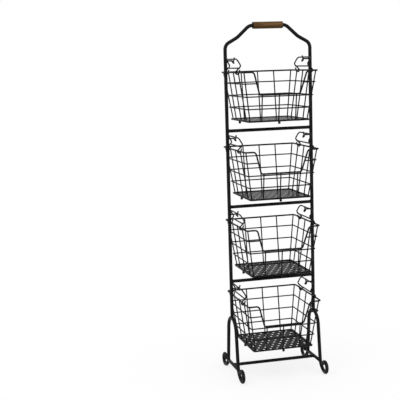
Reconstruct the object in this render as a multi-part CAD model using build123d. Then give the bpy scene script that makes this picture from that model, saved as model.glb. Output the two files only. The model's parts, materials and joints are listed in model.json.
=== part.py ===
from build123d import *
import os
from math import asin, ceil, cos, hypot, pi, radians, sin, tan

# Basket sizes, rim and floor frame measured to the middle of their wires, millimetres
RIM_X = 138.0
RIM_Y = 135.0
FLOOR_X = 112.5
FLOOR_Y = 110.0
BASKET_H = 173.0
WIRE_D = 4.2
RIM_D = 6.0
CORNER_CUT = 6.0
UPRIGHT_PITCH_X = 63.8
UPRIGHT_PITCH_Y = 62.6
UPRIGHT_TOE_IN = 0.7
UPRIGHT_LAP = 1.0
WELD_GAP = 0.02

# Low front of the basket
FRONT_DIP = 79.7
DIP_PAST_UPRIGHT = 11.1
DIP_FLARE = 23.0
DIP_CUT = 7.0
RING_UNDER_DIP = 6.0

# Floor sheet and feet
SHEET_T = 1.2
FOOT_D = 7.6
FOOT_H = 7.6

# Hangers, measured from the middle of the rim's side wire
HANGER_D = 4.6
HANGER_BESIDE_UPRIGHT = 5.8
HANGER_LEAN = 45.0
HANGER_CROSS_H = 16.0
HANGER_KINK_OVER_CROSS = 6.5
HANGER_BAR_OVER_KINK = 24.6
HANGER_BAR_OUT = 0.5
HANGER_BAR_CUT = 8.0
HANGER_KINK_CUT = 2.5
HANGER_TAIL = 17.0
HANG_GAP = 0.3

# Frame layout
TIERS = 4
LOW_PEG_Z = 329.0
HANDLE_RISE = 123.5
POST_BESIDE_RIM = 23.0
FEET_OVER_RUNG = 19.4
RUNG_ABOVE_PEG = 27.4
SPLIT_BELOW_PEG = 46.0
SCREW_BELOW_PEG = 34.0

# Tube and rod
TUBE_D = 12.8
RUNG_D = 11.8
SPIGOT_D = 7.4
SPIGOT_L = 26.0
JOINT_PLAY = 0.1

# Handle hoop, slopes above the level in degrees
HOOP_LOW_SLOPE = 28.7
HOOP_HIGH_SLOPE = 42.1
HOOP_STEEP_DROP = 41.7
SHOULDER_R = 28.0
SWAY_R = 60.0
NECK_R = 32.0

# Wooden grip and its end caps
GRIP_L = 106.0
GRIP_D = 25.0
GRIP_PLAY = 0.3
GRIP_EDGE = 1.5
CAP_D = 24.4
CAP_T = 3.0

# Joint screw heads
SCREW_D = 7.0
SCREW_H = 3.0

# Leg hoops with scroll feet
LEG_CROWN_Z = 217.0
LEG_ARCH_R = 49.0
LEG_SPLAY = 6.6
FOOT_SWEEP_R = 49.0
SCROLL_R = 19.5
SCROLL_TURN = 230.0
SCROLL_TAIL = 10.0
BEND_STEP = 12.0
STRETCHER_Z = 36.2

# Wire hooks
HOOK_D = 4.8
HOOK_NOSE = 2.5
HOOK_LOOP_R = 5.4
HOOK_LOOP_SLOPE = 54.0
HOOK_LOOP_TURN = 270.0
HOOK_LOOP_STEPS = 6
HOOK_TIP_SLOPE = 76.0
HOOK_TIP_L = 16.7

# Half width over the corners of a wire with flats
TUBE_R = TUBE_D / 2
RUNG_R = RUNG_D / 2
SIX = cos(pi / 6)
EIGHT = cos(pi / 8)
TWELVE = cos(pi / 12)
WIRE_R = WIRE_D / 2 / SIX
FRAME_R = RIM_D / 2 / SIX
RIM_R = RIM_D / 2 / EIGHT
HOOK_R = HOOK_D / 2 / SIX
HANGER_R = HANGER_D / 2 / SIX
HOOP_R = TUBE_R / TWELVE

# How far the wires outside the uprights stand off them
RIM_OUT = RIM_R + WIRE_D / 2 + WELD_GAP
RING_OUT = WIRE_R + WIRE_D / 2 + WELD_GAP
FRAME_OUT = FRAME_R + WIRE_D / 2 + WELD_GAP

# Heights and places that follow
HANGER_KINK_H = HANGER_CROSS_H + HANGER_KINK_OVER_CROSS
HANGER_H = HANGER_KINK_H + HANGER_BAR_OVER_KINK
BAR_OVER_PEG = HOOK_R + HANG_GAP + HANGER_R
FEET_BELOW_RIM = BASKET_H + FRAME_R + WELD_GAP + FOOT_H
FEET_BELOW_PEG = HANGER_H - BAR_OVER_PEG + FEET_BELOW_RIM
TIER_PITCH = FEET_BELOW_PEG + FEET_OVER_RUNG + RUNG_R + RUNG_ABOVE_PEG
PEG_Z = LOW_PEG_Z + (TIERS - 1) * TIER_PITCH
RIM_Z = PEG_Z + BAR_OVER_PEG - HANGER_H
GRIP_Z = PEG_Z + HANDLE_RISE
POST_X = RIM_X + POST_BESIDE_RIM
BAR_X = RIM_X + HANGER_BAR_OUT
HANGER_LOOP_R = RIM_R + HANG_GAP + HANGER_R


def rod(path, dia, sides, across=None):
    # wire or tube bent along a path, with flats that stand for its round section
    start = Plane(origin=path @ 0, x_dir=across, z_dir=path % 0)
    turn = 0 if sides % 4 else 180 / sides
    flats = RegularPolygon(dia / 2, sides, major_radius=False, rotation=turn)
    return sweep(start * flats, path=path, transition=Transition.RIGHT)


def bar(a, b, dia):
    # straight tube or bar of the frame
    return rod(Line(a, b), dia, 12)


def cut_corners(points, cuts):
    # a bend as one short straight across each inner corner
    points = [Vector(*point) for point in points]
    eased = points[:1]
    for before, corner, after, cut in zip(points, points[1:], points[2:], cuts):
        eased.append(corner + (before - corner).normalized() * cut)
        eased.append(corner + (after - corner).normalized() * cut)
    return eased + points[-1:]


def mirrored(shape):
    return mirror(shape, about=Plane.YZ)


def both_sides(half):
    return half + mirrored(half)


def wall(depth):
    # half width and half depth of a basket to the middle of its uprights
    share = depth / BASKET_H
    top = (RIM_X - RIM_OUT, RIM_Y - RIM_OUT)
    low = (FLOOR_X - FRAME_OUT, FLOOR_Y - FRAME_OUT)
    return tuple(a + (b - a) * share for a, b in zip(top, low))


def corner_cut(out):
    return CORNER_CUT + out * (2 - 2**0.5)


def half_loop(depth, out, end_x=0):
    # right half of a level line round the basket, from back to front
    x, y = (size + out for size in wall(depth))
    corners = [(0, y, -depth), (x, y, -depth), (x, -y, -depth), (end_x, -y, -depth)]
    return cut_corners(corners, [corner_cut(out)] * 2)


def ring(depth, dia, out, end_x=0):
    return both_sides(rod(Polyline(*half_loop(depth, out, end_x)), dia, 6, (0, 0, 1)))


# Rim wire with its low front
spread_top = UPRIGHT_PITCH_X, UPRIGHT_PITCH_Y
dip_low_x = spread_top[0] + DIP_PAST_UPRIGHT
dip_top_x = dip_low_x + DIP_FLARE
dip_y = wall(FRONT_DIP)[1] + RIM_OUT
rim_corners = [
    (0, RIM_Y, 0),
    (RIM_X, RIM_Y, 0),
    (RIM_X, -RIM_Y, 0),
    (dip_top_x, -RIM_Y, 0),
    (dip_low_x, -dip_y, -FRONT_DIP),
    (0, -dip_y, -FRONT_DIP),
]
rim_cuts = [corner_cut(RIM_OUT), corner_cut(RIM_OUT), DIP_CUT, DIP_CUT]
rim = both_sides(rod(Polyline(*cut_corners(rim_corners, rim_cuts)), RIM_D, 8, (0, 0, 1)))

# Ring wires, the top one ending at the sides of the low front, and the floor frame
top_ring_depth = FRONT_DIP / 2
mid_ring_depth = FRONT_DIP + RING_UNDER_DIP
low_ring_depth = (mid_ring_depth + BASKET_H) / 2
dip_slope = DIP_FLARE / FRONT_DIP
dip_side_x = (dip_top_x + dip_low_x) / 2 + RIM_R * (1 + dip_slope**2) ** 0.5 + WIRE_R * dip_slope
top_ring = ring(top_ring_depth, WIRE_D, RING_OUT, dip_side_x + WELD_GAP)
lower_rings = [ring(depth, WIRE_D, RING_OUT) for depth in (mid_ring_depth, low_ring_depth)]
floor_frame = ring(BASKET_H, RIM_D, FRAME_OUT)
rings = Compound([top_ring, *lower_rings, floor_frame])

# Upright wires on the floor sheet: three to a wall and one to a corner, those of the low front shorter
wall_lean = hypot(RIM_X - FLOOR_X, RIM_Y - FLOOR_Y) / BASKET_H
low_depth = BASKET_H - SHEET_T / 2 - WIRE_R * wall_lean - WELD_GAP
dip_depth = FRONT_DIP - UPRIGHT_LAP


def spread(axis, depth):
    return spread_top[axis] - UPRIGHT_TOE_IN * depth / BASKET_H


def on_side(side, place, depth):
    return side * wall(depth)[0], place * spread(1, depth), -depth


def on_front_or_back(side, place, depth):
    return place * spread(0, depth), side * wall(depth)[1], -depth


def in_corner(side_x, side_y, depth):
    x, y = wall(depth)
    return side_x * (x - CORNER_CUT / 2), side_y * (y - CORNER_CUT / 2), -depth


def upright(point, a, b, across, top_depth=-UPRIGHT_LAP):
    return rod(Line(point(a, b, top_depth), point(a, b, low_depth)), WIRE_D, 6, across)


uprights = []
for place in (-1, 0, 1):
    uprights += [upright(on_side, side, place, (0, 1, 0)) for side in (-1, 1)]
    uprights.append(upright(on_front_or_back, 1, place, (1, 0, 0)))
    uprights.append(upright(on_front_or_back, -1, place, (1, 0, 0), dip_depth))
for side in (-1, 1):
    uprights.append(upright(in_corner, side, side, (1, -1, 0)))
    uprights.append(upright(in_corner, side, -side, (1, 1, 0)))
uprights = Compound(uprights)

# Floor sheet inside the frame wire
sheet_half = half_loop(BASKET_H, FRAME_OUT - RIM_D / 2 - WELD_GAP)
sheet_edge = [(p.X, p.Y) for p in sheet_half] + [(-p.X, p.Y) for p in sheet_half[-2:0:-1]]
sheet_face = make_face(Polyline(*sheet_edge, close=True))
floor_sheet = Pos(0, 0, -BASKET_H - SHEET_T / 2) * extrude(sheet_face, SHEET_T)

# Feet under the middle of each side of the floor frame
feet = []
for x, y in ((FLOOR_X, 0), (-FLOOR_X, 0), (0, FLOOR_Y), (0, -FLOOR_Y)):
    foot = Line((x, y, FOOT_H - FEET_BELOW_RIM), (x, y, -FEET_BELOW_RIM))
    feet.append(rod(foot, FOOT_D, 6, (1, 0, 0)))
feet = Compound(feet)

# Right hanger: feet hooked under the rim's side wire, legs bent in and out again to the top bar
hanger_y = spread_top[1] + HANGER_BESIDE_UPRIGHT
lean = radians(HANGER_LEAN)
up_leg = Vector(-sin(lean), 0, cos(lean))
out_leg = Vector(cos(lean), 0, sin(lean))


def beside_rim(angle, radius, y):
    # point round the rim's side wire, the angle from the outer side downwards
    turn = radians(angle)
    return Vector(RIM_X, y, 0) + radius * (cos(turn) * out_leg - sin(turn) * up_leg)


def up_the_leg(height, y):
    run = (height - HANGER_LOOP_R * sin(lean)) / cos(lean)
    return beside_rim(0, HANGER_LOOP_R, y) + run * up_leg


def hanger_leg(y):
    # tail end, loop under the rim wire, kink
    tail = beside_rim(180, HANGER_LOOP_R, y) + HANGER_TAIL * up_leg
    loop = [beside_rim(step * 180 / 8, HANGER_LOOP_R / EIGHT, y) for step in (7, 5, 3, 1)]
    return tail, loop, up_the_leg(HANGER_KINK_H, y)


front_tail, front_loop, front_kink = hanger_leg(-hanger_y)
back_tail, back_loop, back_kink = hanger_leg(hanger_y)
bow = cut_corners(
    [
        front_loop[-1],
        front_kink,
        (BAR_X, -hanger_y, HANGER_H),
        (BAR_X, hanger_y, HANGER_H),
        back_kink,
        back_loop[-1],
    ],
    [HANGER_KINK_CUT, HANGER_BAR_CUT, HANGER_BAR_CUT, HANGER_KINK_CUT],
)
hanger_path = Polyline(front_tail, *front_loop[:-1], *bow, *back_loop[-2::-1], back_tail)
hanger_bow = rod(hanger_path, HANGER_D, 6, (0, 1, 0))
cross_y = hanger_y - HANGER_R - WELD_GAP
cross_line = Line(up_the_leg(HANGER_CROSS_H, -cross_y), up_the_leg(HANGER_CROSS_H, cross_y))
hanger_cross = rod(cross_line, HANGER_D, 6, up_leg)
right_hanger = Compound([hanger_bow, hanger_cross])

# Handle hoop: level through the grip, sloping out and down to two posts
neck_x = GRIP_L / 2 + GRIP_PLAY + CAP_T + WELD_GAP + NECK_R * tan(radians(HOOP_HIGH_SLOPE / 2))
sway_z = GRIP_Z - HOOP_STEEP_DROP
sway_x = neck_x + HOOP_STEEP_DROP / tan(radians(HOOP_HIGH_SLOPE))
shoulder_z = sway_z - (POST_X - sway_x) * tan(radians(HOOP_LOW_SLOPE))
split_z = [PEG_Z - SPLIT_BELOW_PEG - tier * TIER_PITCH for tier in range(TIERS)]
hoop_half = FilletPolyline(
    (0, 0, GRIP_Z),
    (neck_x, 0, GRIP_Z),
    (sway_x, 0, sway_z),
    (POST_X, 0, shoulder_z),
    (POST_X, 0, split_z[0]),
    radius=[NECK_R, SWAY_R, SHOULDER_R],
)


def socket(low_z):
    # bore in the lower end of a right-hand post
    return bar((POST_X, 0, low_z), (POST_X, 0, low_z + SPIGOT_L + WELD_GAP), SPIGOT_D + 2 * JOINT_PLAY)


def post(low_z, high_z):
    # right-hand post with a spigot on top
    shaft = bar((POST_X, 0, low_z), (POST_X, 0, high_z), TUBE_D)
    return shaft + bar((POST_X, 0, high_z), (POST_X, 0, high_z + SPIGOT_L), SPIGOT_D)


handle_hoop = both_sides(rod(hoop_half, TUBE_D, 12, (0, 1, 0)) - socket(split_z[0]))
section_posts = [post(low, high) - socket(low) for high, low in zip(split_z, split_z[1:])]

# Wooden grip, free to turn on the hoop, between two end caps
grip_bar = chamfer(Cylinder(GRIP_D / 2, GRIP_L).edges().filter_by(GeomType.CIRCLE), GRIP_EDGE)
grip_bar -= Cylinder(HOOP_R + GRIP_PLAY, GRIP_L)
to_grip = Pos(0, 0, GRIP_Z) * Rot(0, 90, 0)
cap_x = (GRIP_L + CAP_T) / 2 + GRIP_PLAY
cap = Cylinder(CAP_D / 2, CAP_T) - Cylinder(HOOP_R + WELD_GAP, CAP_T)
grip_end_caps = Compound([to_grip * Pos(0, 0, x) * cap for x in (-cap_x, cap_x)])

# Leg hoop: arch, splayed leg, sweep to the floor and an open scroll, mirrored front to back
splay = radians(LEG_SPLAY)
sweep_drop = FOOT_SWEEP_R * (1 - sin(splay))
arch_drop = LEG_ARCH_R * (1 - sin(splay))
leg_run = (LEG_CROWN_Z - arch_drop - sweep_drop - TUBE_R) / cos(splay)
arch = JernArc((0, LEG_CROWN_Z), (1, 0), LEG_ARCH_R, LEG_SPLAY - 90)
foot_sweep = JernArc(arch @ 1 + leg_run * (arch % 1), arch % 1, FOOT_SWEEP_R, 90 - LEG_SPLAY)
scroll = JernArc(foot_sweep @ 1, foot_sweep % 1, SCROLL_R, SCROLL_TURN)
scroll_end = scroll @ 1 + SCROLL_TAIL * (scroll % 1)


def short_straights(arc):
    # corners of the short straights that stand for a round bend
    turn = arc.length / arc.radius
    steps = ceil(turn / radians(BEND_STEP))
    ease = cos(turn / steps / 2)
    middle = arc.arc_center
    return [middle + (arc @ ((step + 0.5) / steps) - middle) / ease for step in range(steps)]


leg_bends = [corner for arc in (arch, foot_sweep, scroll) for corner in short_straights(arc)]
leg_path = Plane.YZ * Polyline(arch @ 0, *leg_bends, scroll_end)
leg_half = rod(leg_path, TUBE_D, 8, (1, 0, 0))
right_leg_hoop = Pos(POST_X, 0, 0) * (leg_half + mirror(leg_half, about=Plane.XZ))

# Short post on the crown of the arch, coped over it
base_post = post(LEG_CROWN_Z, split_z[-1]) - right_leg_hoop

# Stretcher between the two legs of a hoop, and crossbar between the stretchers
stretcher_turn = asin((TUBE_R + sweep_drop - STRETCHER_Z) / FOOT_SWEEP_R + sin(splay))
stretcher_y = (foot_sweep @ 0).X + FOOT_SWEEP_R * (cos(splay) - cos(stretcher_turn))
right_stretcher = bar((POST_X, -stretcher_y, STRETCHER_Z), (POST_X, stretcher_y, STRETCHER_Z), RUNG_D)
right_stretcher -= right_leg_hoop
crossbar = bar((-POST_X, 0, STRETCHER_Z), (POST_X, 0, STRETCHER_Z), RUNG_D)
crossbar -= right_stretcher + mirrored(right_stretcher)


def rung(beside, tier):
    # level bar between the two posts of a section, coped to them
    z = PEG_Z - tier * TIER_PITCH + RUNG_ABOVE_PEG
    return bar((-POST_X, 0, z), (POST_X, 0, z), RUNG_D) - beside - mirrored(beside)


# Wire hook: peg from the post, one slanting loop under its end, upturned tip
peg_end_x = BAR_X - HOOK_NOSE
loop_in = HOOK_LOOP_R * cos(radians(HOOK_LOOP_SLOPE))
loop_down = HOOK_LOOP_R * sin(radians(HOOK_LOOP_SLOPE))
loop = []
for step in range(HOOK_LOOP_STEPS + 1):
    turn = step * radians(HOOK_LOOP_TURN) / HOOK_LOOP_STEPS
    fall = 1 - cos(turn)
    loop.append(Vector(peg_end_x - fall * loop_in, HOOK_LOOP_R * sin(turn), PEG_Z - fall * loop_down))
tip_slope = radians(HOOK_TIP_SLOPE)
tip = loop[-1] + HOOK_TIP_L * Vector(-cos(tip_slope), 0, sin(tip_slope))
right_hook = rod(Polyline((POST_X - TUBE_R, 0, PEG_Z), *loop, tip), HOOK_D, 6, (0, 0, 1))

# Joint screw head on the front of a post
screw_z = PEG_Z - SCREW_BELOW_PEG
screw_line = Line((POST_X, 0, screw_z), (POST_X, -TUBE_R - SCREW_H, screw_z))
right_screw = rod(screw_line, SCREW_D, 6, (0, 0, 1))
right_screw -= bar((POST_X, 0, screw_z - SCREW_D), (POST_X, 0, screw_z + SCREW_D), TUBE_D + 2 * WELD_GAP)

# Every piece by name
nodes = {
    "handle_hoop": handle_hoop,
    "handle_grip": to_grip * grip_bar,
    "grip_end_caps": grip_end_caps,
    "right_leg_hoop": right_leg_hoop,
    "left_leg_hoop": mirrored(right_leg_hoop),
    "right_base_post": base_post,
    "left_base_post": mirrored(base_post),
    "right_leg_stretcher": right_stretcher,
    "left_leg_stretcher": mirrored(right_stretcher),
    "base_crossbar": crossbar,
}
for tier, (name, side_post) in enumerate(zip(("upper", "middle", "lower"), section_posts), 1):
    nodes[f"right_{name}_post"] = side_post
    nodes[f"left_{name}_post"] = mirrored(side_post)
    nodes[f"{name}_rung"] = rung(side_post, tier)
screws = []
for tier in range(TIERS):
    lowered = Pos(0, 0, -tier * TIER_PITCH)
    hook = lowered * right_hook
    screw = lowered * right_screw
    nodes[f"tier_{tier + 1}_hooks"] = Compound([hook, mirrored(hook)])
    screws += [screw, mirrored(screw)]
    hung = lowered * Pos(0, 0, RIM_Z)
    nodes[f"basket_{tier + 1}_rim"] = hung * rim
    nodes[f"basket_{tier + 1}_rings"] = hung * rings
    nodes[f"basket_{tier + 1}_uprights"] = hung * uprights
    nodes[f"basket_{tier + 1}_floor"] = hung * floor_sheet
    nodes[f"basket_{tier + 1}_feet"] = hung * feet
    nodes[f"basket_{tier + 1}_right_hanger"] = hung * right_hanger
    nodes[f"basket_{tier + 1}_left_hanger"] = hung * mirrored(right_hanger)
nodes["joint_screws"] = Compound(screws)

os.makedirs("parts", exist_ok=True)
for name, shape in nodes.items():
    export_step(shape, f"parts/{name}.step")
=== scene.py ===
import json
import math

import bmesh
import bpy
from mathutils import Matrix, Quaternion, Vector


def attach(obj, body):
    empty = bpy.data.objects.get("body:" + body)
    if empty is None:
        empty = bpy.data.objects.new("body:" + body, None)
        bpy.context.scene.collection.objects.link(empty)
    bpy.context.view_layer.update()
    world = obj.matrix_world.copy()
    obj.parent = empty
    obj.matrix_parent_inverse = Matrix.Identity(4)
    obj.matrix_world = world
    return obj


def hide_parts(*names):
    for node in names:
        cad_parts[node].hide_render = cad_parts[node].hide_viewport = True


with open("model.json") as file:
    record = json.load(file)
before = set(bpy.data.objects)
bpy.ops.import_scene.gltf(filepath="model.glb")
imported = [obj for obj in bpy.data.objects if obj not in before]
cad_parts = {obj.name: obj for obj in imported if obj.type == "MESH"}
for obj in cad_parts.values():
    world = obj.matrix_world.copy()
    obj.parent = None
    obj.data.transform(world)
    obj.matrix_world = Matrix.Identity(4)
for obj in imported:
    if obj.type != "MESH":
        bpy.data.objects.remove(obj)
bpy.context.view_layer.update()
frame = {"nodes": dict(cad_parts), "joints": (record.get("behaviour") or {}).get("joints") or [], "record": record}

scene = bpy.context.scene
scene.view_settings.view_transform = "Standard"

bodies = frame["record"]["behaviour"]["bodies"]
bodyOf = {node: body for body, nodes in bodies.items() for node in nodes}
hinge = {joint["name"]: Vector(joint["pos_m"]) for joint in frame["joints"]}
tiers = (1, 2, 3, 4)
mm = 0.001
upward = Vector((0, 0, 1))
rightward = Vector((1, 0, 0))
backward = Vector((0, 1, 0))
print("frame loaded:", len(frame["nodes"]), "solids' nodes")

fineness = {"bendStep": 8, "arcStep": 6, "bendLeast": 3}  # degrees a step, fewest steps in a bend


def bendPath(corners, radii, closed=False):
    # straight runs with a tangent arc at each corner, one radius for all or a list
    if not isinstance(radii, list):
        radii = [radii] * len(corners)
    path = []
    for i, corner in enumerate(corners):
        if not closed and i in (0, len(corners) - 1):
            path.append(corner.copy())
            continue
        toLast = (corners[i - 1] - corner).normalized()
        toNext = (corners[(i + 1) % len(corners)] - corner).normalized()
        turn = math.pi - toLast.angle(toNext)
        start = corner + toLast * radii[i] * math.tan(turn / 2)
        centre = corner + (toLast + toNext).normalized() * radii[i] / math.cos(turn / 2)
        axis = toNext.cross(toLast).normalized()
        steps = max(fineness["bendLeast"], math.ceil(turn / math.radians(fineness["bendStep"])))
        for k in range(steps + 1):
            path.append(centre + Quaternion(axis, turn * k / steps) @ (start - centre))
    return path


def walkPath(y, z, moves):
    # flat path that sets out level: (length, 0) runs straight, (radius, degrees) turns, plus is left
    angle = 0
    points = [(y, z)]
    for size, degrees in moves:
        if not degrees:
            y, z = y + size * math.cos(angle), z + size * math.sin(angle)
            points.append((y, z))
            continue
        turn = math.radians(degrees)
        radius = math.copysign(size, turn)
        centreY, centreZ = y - radius * math.sin(angle), z + radius * math.cos(angle)
        steps = math.ceil(abs(degrees) / fineness["arcStep"])
        for k in range(1, steps + 1):
            a = angle + turn * k / steps
            y, z = centreY + radius * math.sin(a), centreZ - radius * math.cos(a)
            points.append((y, z))
        angle += turn
    return points


def skin(count, sides, closed=False):
    # quads between neighbouring rings of points, and end faces unless the last ring meets the first
    faces = []
    for i in range(count if closed else count - 1):
        low, high = i * sides, (i + 1) % count * sides
        for k in range(sides):
            after = (k + 1) % sides
            faces.append((low + k, low + after, high + after, high + k))
    if not closed:
        faces.append(tuple(reversed(range(sides))))
        faces.append(tuple(range((count - 1) * sides, count * sides)))
    return faces


def ringPoints(at, across, up, radius, sides):
    angles = [2 * math.pi * k / sides for k in range(sides)]
    return [at + (across * math.cos(a) + up * math.sin(a)) * radius for a in angles]


def wireTube(path, radius, sides=12, closed=False, edge=0.35 * mm):
    # round wire along a path, its cut ends broken by a small rounded edge
    count = len(path)
    tangents = []
    for i in range(count):
        last = path[i - 1] if closed or i else path[0]
        after = path[(i + 1) % count] if closed or i < count - 1 else path[-1]
        tangents.append((after - last).normalized())
    normal = tangents[0].orthogonal().normalized()
    rings = []
    for i in range(count):
        if i:
            normal = tangents[i - 1].rotation_difference(tangents[i]) @ normal
        width = radius[i] if isinstance(radius, list) else radius
        rings.append((path[i], tangents[i], normal.copy(), width))
    if not closed:
        cut = [(edge * (1 - math.sin(a)), edge * (1 - math.cos(a))) for a in (math.pi / 2, math.pi / 4, 0)]
        at, along, across, width = rings[0]
        head = [(at + along * back, along, across, width - drop) for back, drop in cut]
        at, along, across, width = rings[-1]
        tail = [(at - along * back, along, across, width - drop) for back, drop in reversed(cut)]
        rings = head + rings[1:-1] + tail
    verts = []
    for at, along, across, width in rings:
        verts += ringPoints(at, across, along.cross(across), width, sides)
    return verts, skin(len(rings), sides, closed)


def turned(profile, origin, axis, sides, bored=True):
    # lathe shape from (distance along the axis, radius), closed through its bore if it has one
    across = axis.orthogonal().normalized()
    verts = []
    for along, radius in profile:
        verts += ringPoints(origin + axis * along, across, axis.cross(across), radius, sides)
    return verts, skin(len(profile), sides, bored)


def easedEnd(along, radius, ease):
    # quarter round from the side of a lathe shape to its end
    angles = [math.radians(a) for a in (0, 22.5, 45, 67.5, 90)]
    return [(along - ease * (1 - math.sin(a)), radius - ease * (1 - math.cos(a))) for a in angles]


bead = {
    "points": 36,
    "sides": 8,
    "ripples": ((0.14, 9, 0), (0.08, 4, 1)),  # share of the width, waves round the seam, shift
    "clear": 1.001,  # keeps the seam of two equal tubes off their tangent
}


def weldSeam(at, along, host, rodRadius, hostRadius, size):
    # rippled bead where a rod leaves the side of another tube
    side = along.cross(host).normalized()
    rise = side.cross(along).normalized()
    flatAlong = along - host * along.dot(host)
    reach = max(hostRadius, rodRadius * bead["clear"])
    path, widths = [], []
    for k in range(bead["points"]):
        a = 2 * math.pi * k / bead["points"]
        spoke = (side * math.cos(a) + rise * math.sin(a)) * rodRadius
        flatSpoke = spoke - host * spoke.dot(host)
        p, q = flatAlong.length_squared, 2 * flatAlong.dot(flatSpoke)
        rest = max(q * q - 4 * p * (flatSpoke.length_squared - reach * reach), 0)
        path.append(at + along * (math.sqrt(rest) - q) / (2 * p) + spoke)
        ripple = sum(share * math.sin(waves * a + shift) for share, waves, shift in bead["ripples"])
        widths.append(size * (1 + ripple))
    return wireTube(path, widths, bead["sides"], closed=True)


spot = {"size": 1.7 * mm, "flatness": 0.75, "slices": (-66, -33, 0, 33, 66), "sides": 8}


def weldSpot(at, flat):
    # small flattened nugget between two crossed wires
    angles = [math.radians(a) for a in spot["slices"]]
    thick = spot["size"] * spot["flatness"]
    profile = [(thick * math.sin(a), spot["size"] * math.cos(a)) for a in angles]
    return turned(profile, at, flat, spot["sides"], bored=False)


def shifted(part, offset):
    return [v + offset for v in part[0]], part[1]


def flipped(part):
    # the same part on the other side of the stand
    return [Vector((-v.x, v.y, v.z)) for v in part[0]], [tuple(reversed(f)) for f in part[1]]


def bothSides(parts):
    return parts + [flipped(part) for part in parts]


def makePiece(name, parts, material, node, smooth=True):
    verts, faces = [], []
    for partVerts, partFaces in parts:
        base = len(verts)
        verts += partVerts
        faces += [tuple(base + i for i in face) for face in partFaces]
    mesh = bpy.data.meshes.new(name)
    mesh.from_pydata(verts, [], faces)
    mesh.validate()
    rounded = [smooth and len(p.vertices) <= 4 for p in mesh.polygons]  # end faces stay flat
    mesh.polygons.foreach_set("use_smooth", rounded)
    mesh.update()
    placePiece(bpy.data.objects.new(name, mesh), material, node)


def placePiece(piece, material, node):
    scene.collection.objects.link(piece)
    piece.data.materials.append(material)
    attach(piece, bodyOf[node])
    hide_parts(node)


def newFinish(name):
    finish = bpy.data.materials.new(name)
    finish.use_nodes = True
    tree = finish.node_tree
    shader = tree.nodes["Principled BSDF"]
    coords = tree.nodes.new("ShaderNodeTexCoord")
    return finish, tree, shader, coords.outputs["Object"]


def addNoise(tree, coords, scale, detail, stretch=None):
    if stretch:
        mapping = tree.nodes.new("ShaderNodeMapping")
        mapping.inputs["Scale"].default_value = stretch
        tree.links.new(coords, mapping.inputs["Vector"])
        coords = mapping.outputs["Vector"]
    node = tree.nodes.new("ShaderNodeTexNoise")
    node.inputs["Scale"].default_value = scale
    node.inputs["Detail"].default_value = detail
    tree.links.new(coords, node.inputs["Vector"])
    return node.outputs["Fac"]


def addRamp(tree, source, stops):
    ramp = tree.nodes.new("ShaderNodeValToRGB")
    while len(ramp.color_ramp.elements) < len(stops):
        ramp.color_ramp.elements.new(0.5)
    for element, (place, colour) in zip(ramp.color_ramp.elements, stops):
        element.position = place
        element.color = (*colour, 1)
    tree.links.new(source, ramp.inputs["Fac"])
    return ramp.outputs["Color"]


def addRange(tree, source, low, high):
    node = tree.nodes.new("ShaderNodeMapRange")
    node.inputs["To Min"].default_value = low
    node.inputs["To Max"].default_value = high
    tree.links.new(source, node.inputs["Value"])
    return node.outputs["Result"]


def addBump(tree, shader, height, strength, distance, under=None):
    bump = tree.nodes.new("ShaderNodeBump")
    bump.inputs["Strength"].default_value = strength
    bump.inputs["Distance"].default_value = distance
    tree.links.new(height, bump.inputs["Height"])
    if under:
        tree.links.new(under, bump.inputs["Normal"])
    tree.links.new(bump.outputs["Normal"], shader.inputs["Normal"])
    return bump.outputs["Normal"]


def multiplied(tree, first, second, share):
    mix = tree.nodes.new("ShaderNodeMix")
    mix.data_type = "RGBA"
    mix.blend_type = "MULTIPLY"
    mix.inputs["Factor"].default_value = share
    tree.links.new(first, mix.inputs["A"])
    tree.links.new(second, mix.inputs["B"])
    return mix.outputs["Result"]


powder = {
    "dark": (0.0030, 0.0030, 0.0032),
    "light": (0.0072, 0.0072, 0.0076),
    "stops": (0.3, 0.72),
    "rough": (0.46, 0.62),
    "specular": 0.15,
    "cloud": (26.0, 4.0),  # noise scale and detail
    "peel": (900.0, 2.0),
    "peelBump": (0.5, 0.2 * mm),  # strength and distance
}


def powderCoat(name, lift=1.0, tint=(1.0, 1.0, 1.0), rough=None, specular=None):
    # satin black powder coat: faint clouding, orange peel, uneven sheen
    finish, tree, shader, coords = newFinish(name)
    cloud = addNoise(tree, coords, *powder["cloud"])
    peel = addNoise(tree, coords, *powder["peel"])
    tones = [[c * lift * t for c, t in zip(powder[tone], tint)] for tone in ("dark", "light")]
    colour = addRamp(tree, cloud, list(zip(powder["stops"], tones)))
    tree.links.new(colour, shader.inputs["Base Color"])
    sheen = addRange(tree, cloud, *(rough or powder["rough"]))
    tree.links.new(sheen, shader.inputs["Roughness"])
    shader.inputs["Specular IOR Level"].default_value = specular or powder["specular"]
    addBump(tree, shader, peel, *powder["peelBump"])
    return finish


wood = {
    "grain": (74.8, 5.0, (0.09, 1.0, 1.0)),  # noise scale, detail and stretch along the grip
    "streak": (476.0, 4.0, (0.03, 1.0, 1.0)),
    "pore": (1500.0, 2.0, (0.07, 1.0, 1.0)),
    "grainTones": [
        (0.34, (0.078, 0.038, 0.0136)),
        (0.5, (0.172, 0.090, 0.035)),
        (0.66, (0.280, 0.158, 0.067)),
    ],
    "streakTones": [(0.34, (0.42, 0.38, 0.34)), (0.56, (1.0, 1.0, 1.0))],
    "poreTones": [(0.32, (0.34, 0.30, 0.27)), (0.43, (1.0, 1.0, 1.0))],
    "streakShare": 0.75,
    "poreShare": 0.8,
    "rough": (0.42, 0.62),
    "specular": 0.08,
    "streakBump": (0.35, 0.25 * mm),  # strength and distance
    "poreBump": (0.3, 0.15 * mm),
}


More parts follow.
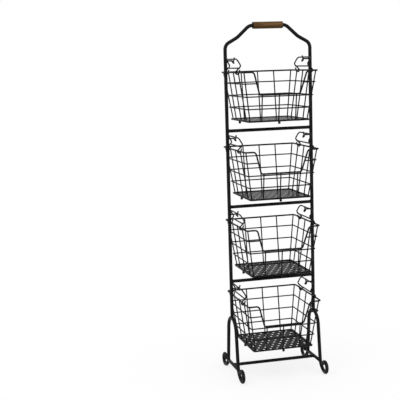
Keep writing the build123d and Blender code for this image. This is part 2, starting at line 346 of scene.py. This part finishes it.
def oiledWood(name):
    # brown turned wood, grain running along the grip
    finish, tree, shader, coords = newFinish(name)
    grain, streak, pore = (addNoise(tree, coords, *wood[kind]) for kind in ("grain", "streak", "pore"))
    colour = addRamp(tree, grain, wood["grainTones"])
    colour = multiplied(tree, colour, addRamp(tree, streak, wood["streakTones"]), wood["streakShare"])
    colour = multiplied(tree, colour, addRamp(tree, pore, wood["poreTones"]), wood["poreShare"])
    tree.links.new(colour, shader.inputs["Base Color"])
    tree.links.new(addRange(tree, streak, *wood["rough"]), shader.inputs["Roughness"])
    shader.inputs["Specular IOR Level"].default_value = wood["specular"]
    ridges = addBump(tree, shader, streak, *wood["streakBump"])
    addBump(tree, shader, pore, *wood["poreBump"], ridges)
    return finish


frameBlack = powderCoat("frameBlack")
wireBlack = powderCoat("wireBlack", lift=0.9)
sheetBlack = powderCoat("sheetBlack", lift=0.8, tint=(0.98, 1.0, 1.03), rough=(0.24, 0.3), specular=0.018)
capBlack = powderCoat("capBlack", lift=0.8, rough=(0.34, 0.42))
screwBlack = powderCoat("screwBlack", lift=1.2, rough=(0.28, 0.4))
gripWood = oiledWood("gripWood")
print("finishes ready")


def inFrame(name, parts, node):
    makePiece(name, parts, frameBlack, node)


def pairInFrame(name, parts, node):
    inFrame(f"{name}Right", parts, f"right_{node}")
    inFrame(f"{name}Left", [flipped(part) for part in parts], f"left_{node}")


post = {
    "x": 161 * mm,
    "radius": 6.4 * mm,
    "splitBelowPeg": 46 * mm,
    "screwBelowPeg": 34 * mm,
    "edge": 0.7 * mm,
    "sides": 24,
}
pegZ = [hinge[f"basket_{tier}_swing"].z for tier in tiers]
gripZ = hinge["grip_spin"].z
splitZ = [z - post["splitBelowPeg"] for z in pegZ]


def onPost(z):
    return Vector((post["x"], 0, z))


def frameTube(path, edge=post["edge"]):
    return wireTube(path, post["radius"], post["sides"], edge=edge)


hoop = {
    "capEnd": 56.32 * mm,
    "highSlope": 42.1,
    "lowSlope": 28.7,
    "steepDrop": 41.7 * mm,
    "neck": 32 * mm,
    "sway": 60 * mm,
    "shoulder": 28 * mm,
}
neckX = hoop["capEnd"] + hoop["neck"] * math.tan(math.radians(hoop["highSlope"] / 2))
swayX = neckX + hoop["steepDrop"] / math.tan(math.radians(hoop["highSlope"]))
swayZ = gripZ - hoop["steepDrop"]
shoulderZ = swayZ - (post["x"] - swayX) * math.tan(math.radians(hoop["lowSlope"]))
hoopSide = [(post["x"], splitZ[0]), (post["x"], shoulderZ), (swayX, swayZ), (neckX, gripZ)]
hoopCorners = [Vector((-x, 0, z)) for x, z in hoopSide]
hoopCorners += [Vector((x, 0, z)) for x, z in reversed(hoopSide)]
hoopBends = [0, hoop["shoulder"], hoop["sway"], hoop["neck"]]
hoopPath = bendPath(hoopCorners, hoopBends + hoopBends[::-1])
inFrame("handleHoop", [frameTube(hoopPath)], "handle_hoop")

hook = {
    "radius": 2.6 * mm,
    "startShare": 0.7,  # where its end lies inside the post, as a share of the post's radius
    "endX": 136 * mm,
    "pegShort": 4 * mm,
    "loop": 5.4 * mm,
    "loopTurn": 270,
    "loopSteps": 24,
    "slope": 54,
    "tipSlope": 76,
    "tipLength": 16.7 * mm,
    "tipPoints": (0.12, 0.3, 1.0),
    "edge": 0.6 * mm,
    "sides": 14,
    "weld": 0.9 * mm,
}


def hookParts(z):
    # peg from the post, slanting loop under its end, upturned tip
    inward = hook["loop"] * math.cos(math.radians(hook["slope"]))
    down = hook["loop"] * math.sin(math.radians(hook["slope"]))
    startX = post["x"] - post["radius"] * hook["startShare"]
    path = [Vector((x, 0, z)) for x in (startX, hook["endX"] + hook["pegShort"])]
    for k in range(hook["loopSteps"] + 1):
        a = math.radians(hook["loopTurn"] * k / hook["loopSteps"])
        fall = 1 - math.cos(a)
        path.append(Vector((hook["endX"] - fall * inward, hook["loop"] * math.sin(a), z - fall * down)))
    lean = math.radians(hook["tipSlope"])
    tip = path[-1] + hook["tipLength"] * Vector((-math.cos(lean), 0, math.sin(lean)))
    path += [path[-1].lerp(tip, share) for share in hook["tipPoints"]]
    seam = weldSeam(onPost(z), -rightward, upward, hook["radius"], post["radius"], hook["weld"])
    return [wireTube(path, hook["radius"], hook["sides"], edge=hook["edge"]), seam]


for tier, z in zip(tiers, pegZ):
    inFrame(f"tier{tier}Hooks", bothSides(hookParts(z)), f"tier_{tier}_hooks")
print("hoop and hooks bent")

rung = {"radius": 5.95 * mm, "abovePeg": 27.4 * mm, "endShare": 0.6, "weld": 1.3 * mm}


def levelBar(z, host, hostRadius):
    # bar across the stand, its ends inside the two tubes that it is welded to
    reach = post["x"] - hostRadius * rung["endShare"]
    bar = wireTube([Vector((x, 0, z)) for x in (-reach, reach)], rung["radius"], post["sides"])
    seam = weldSeam(onPost(z), -rightward, host, rung["radius"], hostRadius, rung["weld"])
    return [bar] + bothSides([seam])


for i, section in enumerate(("upper", "middle", "lower")):
    pairInFrame(f"{section}Post", [frameTube([onPost(splitZ[i + 1]), onPost(splitZ[i])])], f"{section}_post")
    rungZ = pegZ[i + 1] + rung["abovePeg"]
    inFrame(f"{section}Rung", levelBar(rungZ, upward, post["radius"]), f"{section}_rung")
print("ladder sections built")

leg = {
    "crownZ": 217 * mm,
    "arch": 49 * mm,
    "splay": 6.6,
    "sweep": 49 * mm,
    "scroll": 19.5 * mm,
    "scrollTurn": 230,
    "tail": 10 * mm,
    "soleZ": 6.4 * mm,
    "edge": 1.6 * mm,
    "weld": 1.4 * mm,
    "stretcherZ": 36.2 * mm,
    "stretcherShort": 3 * mm,
}


def groundFlush(seam):
    # weld bead dressed back to the outer face of the stand
    limit = post["x"] + post["radius"]
    return [Vector((min(v.x, limit), v.y, v.z)) for v in seam[0]], seam[1]


splaySine = math.sin(math.radians(leg["splay"]))
splayCosine = math.cos(math.radians(leg["splay"]))
sweepDrop = leg["sweep"] * (1 - splaySine)
archDrop = leg["arch"] * (1 - splaySine)
legRun = (leg["crownZ"] - archDrop - sweepDrop - leg["soleZ"]) / splayCosine
legMoves = [
    (leg["arch"], leg["splay"] - 90),
    (legRun, 0),
    (leg["sweep"], 90 - leg["splay"]),
    (leg["scroll"], leg["scrollTurn"]),
    (leg["tail"], 0),
]
halfLeg = walkPath(0, leg["crownZ"], legMoves)
legPath = [Vector((post["x"], -y, z)) for y, z in reversed(halfLeg[1:])]
legPath += [Vector((post["x"], y, z)) for y, z in halfLeg]
pairInFrame("legHoop", [frameTube(legPath, leg["edge"])], "leg_hoop")

crown = onPost(leg["crownZ"])
crownSeam = weldSeam(crown, upward, backward, post["radius"], post["radius"], leg["weld"])
stub = [frameTube([crown, onPost(splitZ[3])]), groundFlush(crownSeam)]
pairInFrame("basePost", stub, "base_post")

stretcherTurn = math.asin((leg["soleZ"] + sweepDrop - leg["stretcherZ"]) / leg["sweep"] + splaySine)
sweepTopY = leg["arch"] * splayCosine + legRun * splaySine
stretcherY = sweepTopY + leg["sweep"] * (splayCosine - math.cos(stretcherTurn))
stretcherPath, stretcherSeams = [], []
for sign in (-1, 1):
    endY = sign * (stretcherY - leg["stretcherShort"])
    stretcherPath.append(Vector((post["x"], endY, leg["stretcherZ"])))
    at = Vector((post["x"], sign * stretcherY, leg["stretcherZ"]))
    downLeg = Vector((0, sign * math.sin(stretcherTurn), -math.cos(stretcherTurn)))
    seam = weldSeam(at, -sign * backward, downLeg, rung["radius"], post["radius"], rung["weld"])
    stretcherSeams.append(groundFlush(seam))
stretcher = wireTube(stretcherPath, rung["radius"], post["sides"])
pairInFrame("legStretcher", [stretcher] + stretcherSeams, "leg_stretcher")
inFrame("baseCrossbar", levelBar(leg["stretcherZ"], backward, rung["radius"]), "base_crossbar")
print("leg hoops and base built")

screw = {
    "flat": 3.5 * mm,
    "rise": 3.4 * mm,
    "sunk": 0.5 * mm,
    "chamfer": (0.6 * mm, 0.72 * mm),  # down the side and in over the top
    "washer": 4.3 * mm,
    "washerRise": 0.7 * mm,
    "washerEdge": 0.25 * mm,
    "washerSides": 20,
}


def screwParts(z):
    # hex head with a chamfered top on a thin washer face, on the front of the post
    base = Vector((post["x"], screw["sunk"] - post["radius"], z))
    corner = screw["flat"] / math.cos(math.pi / 6)
    down, inward = screw["chamfer"]
    head = [(0, corner), (screw["rise"] - down, corner), (screw["rise"], corner - inward)]
    wide, lip, soft = screw["washer"], screw["washerRise"], screw["washerEdge"]
    washer = [(-soft, wide), (lip, wide), (lip + soft, wide - soft)]
    return [
        turned(head, base, -backward, 6, bored=False),
        turned(washer, base, -backward, screw["washerSides"], bored=False),
    ]


screws = [part for z in pegZ for part in screwParts(z - post["screwBelowPeg"])]
makePiece("jointScrews", bothSides(screws), screwBlack, "joint_screws", smooth=False)

grip = {
    "half": 55.1 * mm,
    "radius": 12.48 * mm,
    "ease": 1.8 * mm,
    "bore": 6.9 * mm,
    "rings": (-0.6, -0.3, 0, 0.3, 0.6),
    "sides": 64,
}
gripCentre = Vector((0, 0, gripZ))
gripEnd = easedEnd(grip["half"], grip["radius"], grip["ease"])
gripProfile = [(-x, r) for x, r in reversed(gripEnd)]
gripProfile += [(grip["half"] * share, grip["radius"]) for share in grip["rings"]] + gripEnd
gripProfile += [(grip["half"], grip["bore"]), (-grip["half"], grip["bore"])]
woodGrip = turned(gripProfile, gripCentre, rightward, grip["sides"])
makePiece("woodGrip", [woodGrip], gripWood, "handle_grip")

cap = {
    "gap": 0.3 * mm,
    "thick": 0.9 * mm,
    "radius": 12 * mm,
    "bore": 6.2 * mm,
    "innerEase": 0.3 * mm,
    "outerEase": 0.5 * mm,
    "sides": 48,
}
capStart = grip["half"] + cap["gap"]
capEnd = capStart + cap["thick"]
capProfile = [
    (capStart, cap["bore"]),
    (capStart, cap["radius"] - cap["innerEase"]),
    (capStart + cap["innerEase"], cap["radius"]),
]
capProfile += easedEnd(capEnd, cap["radius"], cap["outerEase"]) + [(capEnd, cap["bore"])]
capPart = turned(capProfile, gripCentre, rightward, cap["sides"])
makePiece("gripEndCaps", bothSides([capPart]), capBlack, "grip_end_caps")
print("grip, caps and screws built")

basket = {
    "rim": (138 * mm, 135 * mm),  # half width and half depth
    "floor": (112.5 * mm, 110 * mm),
    "height": 173 * mm,
    "wire": 2.3 * mm,
    "rimWire": 3 * mm,
    "floorWire": 3.2 * mm,
    "thickSides": 14,
    "rimOut": 5.3672 * mm,  # from the middle of the uprights to the middle of the wire round them
    "ringOut": 4.5449 * mm,
    "frameOut": 5.5841 * mm,
    "wallBend": 1.02426 * mm,  # corner bend on the line of the uprights
    "rimBend": 10 * mm,
    "spread": (63.8 * mm, 62.6 * mm),
    "toeIn": 0.7 * mm,
    "lap": 1 * mm,
    "footLap": 0.3 * mm,
    "dip": 79.7 * mm,
    "dipPast": 11.1 * mm,
    "dipFlare": 23 * mm,
    "dipTopBend": 13 * mm,
    "dipLowBend": 9 * mm,
    "ringUnderDip": 6 * mm,
    "ringPastDip": 1.2 * mm,
    "spotShare": 0.47,
}
dipLowX = basket["spread"][0] + basket["dipPast"]
dipTopX = dipLowX + basket["dipFlare"]
topRing = basket["dip"] / 2
midRing = basket["dip"] + basket["ringUnderDip"]
lowRing = (midRing + basket["height"]) / 2


def wallAt(depth):
    # half width and half depth to the middle of the upright wires
    share = depth / basket["height"]
    return [
        (top - basket["rimOut"]) * (1 - share) + (low - basket["frameOut"]) * share
        for top, low in zip(basket["rim"], basket["floor"])
    ]


def loopCorners(depth, out):
    x, y = (size + out for size in wallAt(depth))
    return [Vector((sideX * x, sideY * y, -depth)) for sideX, sideY in ((1, 1), (-1, 1), (-1, -1), (1, -1))]


def loopPath(depth, out):
    # level wire round the four walls
    return bendPath(loopCorners(depth, out), basket["wallBend"] + out, closed=True)


def rimPart():
    # rim wire dipping to the low front
    x, y = basket["rim"]
    dipY = wallAt(basket["dip"])[1] + basket["rimOut"]
    front = [(x, -y, 0), (dipTopX, -y, 0), (dipLowX, -dipY, -basket["dip"])]
    corners = [(-x, y, 0), (x, y, 0)] + front + [(-a, b, c) for a, b, c in reversed(front)]
    frontBends = [basket["rimBend"], basket["dipTopBend"], basket["dipLowBend"]]
    bends = [basket["rimBend"]] * 2 + frontBends + frontBends[::-1]
    path = bendPath([Vector(c) for c in corners], bends, closed=True)
    return wireTube(path, basket["rimWire"], basket["thickSides"], closed=True)


def ringParts():
    # top ring stops at the sides of the low front, the others and the floor frame run round
    out = basket["ringOut"]
    backRight, backLeft, frontLeft, frontRight = loopCorners(topRing, out)
    endX = (dipLowX + dipTopX) / 2 + basket["ringPastDip"]
    ends = [Vector((x, frontRight.y, -topRing)) for x in (endX, -endX)]
    openRing = [ends[0], frontRight, backRight, backLeft, frontLeft, ends[1]]
    parts = [wireTube(bendPath(openRing, basket["wallBend"] + out), basket["wire"])]
    for depth in (midRing, lowRing):
        parts.append(wireTube(loopPath(depth, out), basket["wire"], closed=True))
    floorPath = loopPath(basket["height"], basket["frameOut"])
    parts.append(wireTube(floorPath, basket["floorWire"], basket["thickSides"], closed=True))
    return parts


def uprightLines():
    # outward direction, head and foot of every upright
    lines = []
    low = basket["height"] - basket["footLap"]  # just into the floor sheet

    def onWall(axis, side, place, depth):
        point = Vector((0, 0, -depth))
        point[axis] = side * wallAt(depth)[axis]
        point[1 - axis] = place * (basket["spread"][1 - axis] - basket["toeIn"] * depth / basket["height"])
        return point

    def inCorner(sideX, sideY, depth):
        inset = basket["wallBend"] * (1 - math.sqrt(0.5))
        x, y = (half - inset for half in wallAt(depth))
        return Vector((sideX * x, sideY * y, -depth))

    for place in (-1, 0, 1):
        for side in (-1, 1):
            frontTop = basket["dip"] if side < 0 else 0
            for axis, out, top in ((0, rightward, 0), (1, backward, frontTop)):
                head = onWall(axis, side, place, top - basket["lap"])
                lines.append((side * out, head, onWall(axis, side, place, low)))
    for sideX in (-1, 1):
        for sideY in (-1, 1):
            out = Vector((sideX, sideY, 0)).normalized()
            lines.append((out, inCorner(sideX, sideY, -basket["lap"]), inCorner(sideX, sideY, low)))
    return lines


def uprightParts():
    # straight wires and the weld spots that hold them to the rim, rings and floor frame
    parts = []
    for out, head, low in uprightLines():
        parts.append(wireTube([head, low], basket["wire"]))
        rimDepth = basket["lap"] - head.z
        crossings = [(depth, "ringOut") for depth in (topRing, midRing, lowRing) if depth > rimDepth]
        crossings += [(basket["height"], "frameOut"), (rimDepth, "rimOut")]
        for depth, standOff in crossings:
            at = head.lerp(low, (depth + head.z) / (head.z - low.z))
            parts.append(weldSpot(at + out * basket[standOff] * basket["spotShare"], out))
    return parts


sheet = {
    "thick": 0.7 * mm,
    "pastUprights": 2.56 * mm,
    "edge": 0.12 * mm,
    "hole": 4.1 * mm,
    "pitch": (25.6 * mm, 24.2 * mm),
    "rows": 9,
    "inRow": 8,
    "stagger": 0.25,
    "holeSides": 20,
    "merge": 0.002 * mm,
}


def sheetMesh():
    # floor sheet punched with staggered round holes
    curve = bpy.data.curves.new("floorOutline", "CURVE")
    curve.dimensions = "2D"
    curve.fill_mode = "BOTH"
    curve.extrude = sheet["thick"] / 2 - sheet["edge"]
    curve.bevel_depth = sheet["edge"]
    curve.bevel_resolution = 1

    def outline(points):
        spline = curve.splines.new("POLY")
        spline.points.add(len(points) - 1)
        spline.points.foreach_set("co", [c for x, y in points for c in (x, y, 0, 1)])
        spline.use_cyclic_u = True

    outline([(p.x, p.y) for p in loopPath(basket["height"], sheet["pastUprights"] - sheet["edge"])])
    pitchX, pitchY = sheet["pitch"]
    size = sheet["hole"] + sheet["edge"]
    angles = [2 * math.pi * k / sheet["holeSides"] for k in range(sheet["holeSides"])]
    for row in range(sheet["rows"]):
        y = (row - (sheet["rows"] - 1) / 2) * pitchY
        stagger = sheet["stagger"] if row % 2 else -sheet["stagger"]
        for k in range(sheet["inRow"]):
            x = (k - (sheet["inRow"] - 1) / 2 + stagger) * pitchX
            outline([(x + size * math.cos(a), y + size * math.sin(a)) for a in angles])
    holder = bpy.data.objects.new("floorOutline", curve)
    scene.collection.objects.link(holder)
    bpy.context.view_layer.update()
    punched = holder.evaluated_get(bpy.context.evaluated_depsgraph_get())
    mesh = bpy.data.meshes.new_from_object(punched)
    bpy.data.objects.remove(holder)
    joined = bmesh.new()  # faces and hole walls come apart from the curve
    joined.from_mesh(mesh)
    bmesh.ops.remove_doubles(joined, verts=joined.verts, dist=sheet["merge"])
    joined.to_mesh(mesh)
    joined.free()
    mesh.polygons.foreach_set("use_smooth", [False] * len(mesh.polygons))
    mesh.transform(Matrix.Translation((0, 0, -basket["height"])))
    return mesh


foot = {
    "radius": 4.4 * mm,
    "top": 3.48 * mm,
    "lap": 1 * mm,
    "length": 7.6 * mm,
    "edge": 1 * mm,
    "sides": 16,
    "weld": 0.8 * mm,
    "weldShare": 0.7,
}


def footParts():
    # short pegs under the middle of each side of the floor frame
    parts = []
    halfX, halfY = basket["floor"]
    top = -basket["height"] - foot["top"]
    places = [(halfX, 0, backward), (-halfX, 0, backward), (0, halfY, rightward), (0, -halfY, rightward)]
    for x, y, frameRun in places:
        path = [Vector((x, y, z)) for z in (top + foot["lap"], top - foot["length"])]
        parts.append(wireTube(path, foot["radius"], foot["sides"], edge=foot["edge"]))
        at = Vector((x, y, -basket["height"]))
        seamRadius = foot["radius"] * foot["weldShare"]
        parts.append(weldSeam(at, -upward, frameRun, seamRadius, basket["floorWire"], foot["weld"]))
    return parts


hanger = {
    "wire": 2.5 * mm,
    "loop": 6.203 * mm,
    "loopSteps": 21,
    "lean": 45,
    "y": 68.4 * mm,
    "crossHeight": 16 * mm,
    "crossPast": 2.6 * mm,
    "crossIn": 1.5 * mm,
    "spotIn": 0.9 * mm,
    "kinkHeight": 22.5 * mm,
    "height": 47.1 * mm,
    "barOut": 0.5 * mm,
    "barBend": 13.5 * mm,
    "kinkBend": 7 * mm,
    "tail": 11.5 * mm,
    "tailLean": 30,
}


def hangerParts():
    # right-hand hanger: feet looped under the side of the rim, legs kinked out again to the top bar
    lean = math.radians(hanger["lean"])
    legUp = Vector((-math.sin(lean), 0, math.cos(lean)))
    legOut = Vector((math.cos(lean), 0, math.sin(lean)))
    rimX = basket["rim"][0]

    def upLeg(height, y):
        run = (height - hanger["loop"] * math.sin(lean)) / math.cos(lean)
        return Vector((rimX, y, 0)) + hanger["loop"] * legOut + run * legUp

    def footLoop(y):
        # eye under the rim, its tail closing in on the leg
        closeIn = math.radians(hanger["tailLean"])
        points = []
        for k in range(hanger["loopSteps"] + 1):
            a = (math.pi + closeIn) * (1 - k / hanger["loopSteps"])
            spoke = math.cos(a) * legOut - math.sin(a) * legUp
            points.append(Vector((rimX, y, 0)) + hanger["loop"] * spoke)
        tail = math.sin(closeIn) * legOut + math.cos(closeIn) * legUp
        return [points[0] + hanger["tail"] * tail] + points

    front, back = footLoop(-hanger["y"]), footLoop(hanger["y"])
    barX = rimX + hanger["barOut"]
    bow = [
        front[-1],
        upLeg(hanger["kinkHeight"], -hanger["y"]),
        Vector((barX, -hanger["y"], hanger["height"])),
        Vector((barX, hanger["y"], hanger["height"])),
        upLeg(hanger["kinkHeight"], hanger["y"]),
        back[-1],
    ]
    bends = [0, hanger["kinkBend"], hanger["barBend"]]
    path = front[:-1] + bendPath(bow, bends + bends[::-1]) + back[-2::-1]
    cross, spots = [], []
    for sign in (-1, 1):
        end = upLeg(hanger["crossHeight"], sign * (hanger["y"] + hanger["crossPast"]))
        cross.append(end - legOut * hanger["crossIn"])
        joint = upLeg(hanger["crossHeight"], sign * hanger["y"])
        spots.append(weldSpot(joint - legOut * hanger["spotIn"], legOut))
    return [wireTube(path, hanger["wire"]), wireTube(cross, hanger["wire"])] + spots


wireParts = {"Rim": [rimPart()], "Rings": ringParts(), "Uprights": uprightParts(), "Feet": footParts()}
floorMesh = sheetMesh()
rightHanger = hangerParts()
for tier in tiers:
    name, node = f"basket{tier}", f"basket_{tier}"
    lift = Vector((0, 0, hinge[f"{node}_right_hanger_tilt"].z))
    for label, parts in wireParts.items():
        lifted = [shifted(part, lift) for part in parts]
        makePiece(f"{name}{label}", lifted, wireBlack, f"{node}_{label.lower()}")
    mesh = floorMesh.copy()
    mesh.transform(Matrix.Translation(lift))
    placePiece(bpy.data.objects.new(f"{name}Floor", mesh), sheetBlack, f"{node}_floor")
    right = [shifted(part, lift) for part in rightHanger]
    left = [flipped(part) for part in right]
    makePiece(f"{name}HangerRight", right, wireBlack, f"{node}_right_hanger")
    makePiece(f"{name}HangerLeft", left, wireBlack, f"{node}_left_hanger")
bpy.data.meshes.remove(floorMesh)
print("baskets built")

studio = {
    "floorHalf": 30.0,
    "floorColour": (0.2, 0.2, 0.2),
    "floorGlow": 0.81,
    "worldLight": 0.8,
    "key": {"strength": 0.55, "soft": 55, "azimuth": -48, "elevation": 52},
    "fill": {"strength": 0.2, "soft": 60, "azimuth": 55, "elevation": 40},
}


def seenStraight(tree):
    # 1 to the eye, in gloss and through glass, 0 to light that bounces off rough surfaces
    path = tree.nodes.new("ShaderNodeLightPath")
    seen = path.outputs["Is Camera Ray"]
    for kind in ("Is Glossy Ray", "Is Transmission Ray"):
        either = tree.nodes.new("ShaderNodeMath")
        either.operation = "MAXIMUM"
        tree.links.new(seen, either.inputs[0])
        tree.links.new(path.outputs[kind], either.inputs[1])
        seen = either.outputs[0]
    return seen


def studioFloor():
    # pale floor that reads white to the camera and keeps a soft shadow
    mesh = bpy.data.meshes.new("studioFloor")
    half = studio["floorHalf"]
    corners = [(-half, -half, 0), (half, -half, 0), (half, half, 0), (-half, half, 0)]
    mesh.from_pydata(corners, [], [(0, 1, 2, 3)])
    floor = bpy.data.objects.new("studioFloor", mesh)
    scene.collection.objects.link(floor)
    paper = bpy.data.materials.new("studioPaper")
    paper.use_nodes = True
    tree = paper.node_tree
    tree.nodes.clear()
    diffuse = tree.nodes.new("ShaderNodeBsdfDiffuse")
    diffuse.inputs["Color"].default_value = (*studio["floorColour"], 1)
    glow = tree.nodes.new("ShaderNodeEmission")
    level = addRange(tree, seenStraight(tree), 0, studio["floorGlow"])
    tree.links.new(level, glow.inputs["Strength"])
    both = tree.nodes.new("ShaderNodeAddShader")
    tree.links.new(diffuse.outputs[0], both.inputs[0])
    tree.links.new(glow.outputs[0], both.inputs[1])
    out = tree.nodes.new("ShaderNodeOutputMaterial")
    tree.links.new(both.outputs[0], out.inputs["Surface"])
    mesh.materials.append(paper)


def studioWorld():
    # white to the eye and in reflections, softer as light
    world = bpy.data.worlds.new("studioWorld")
    scene.world = world
    world.use_nodes = True
    tree = world.node_tree
    background = tree.nodes["Background"]
    background.inputs["Color"].default_value = (1, 1, 1, 1)
    level = addRange(tree, seenStraight(tree), studio["worldLight"], 1.0)
    tree.links.new(level, background.inputs["Strength"])


def studioSun(name, strength, soft, azimuth, elevation):
    light = bpy.data.lights.new(name, "SUN")
    light.energy = strength
    light.angle = math.radians(soft)
    holder = bpy.data.objects.new(name, light)
    scene.collection.objects.link(holder)
    a, e = math.radians(azimuth), math.radians(elevation)
    toLight = Vector((math.sin(a) * math.cos(e), -math.cos(a) * math.cos(e), math.sin(e)))
    holder.rotation_mode = "QUATERNION"
    holder.rotation_quaternion = toLight.to_track_quat("Z", "Y")


eye = {
    "place": (-1.0967, -3.27299, 1.16753),
    "turn": (81.583, 1.764, -14.43),
    "lens": 84.73,
    "sensor": 36,
    "reach": 100,
}


def studioCamera():
    # eye level with the top basket, a little to the left of the front
    data = bpy.data.cameras.new("photoView")
    data.lens = eye["lens"]
    data.sensor_width = eye["sensor"]
    data.clip_end = eye["reach"]
    camera = bpy.data.objects.new("photoView", data)
    scene.collection.objects.link(camera)
    camera.location = eye["place"]
    camera.rotation_euler = [math.radians(angle) for angle in eye["turn"]]
    scene.camera = camera


studioFloor()
studioWorld()
studioSun("keySoftbox", **studio["key"])
studioSun("fillSoftbox", **studio["fill"])
studioCamera()
print("studio set")
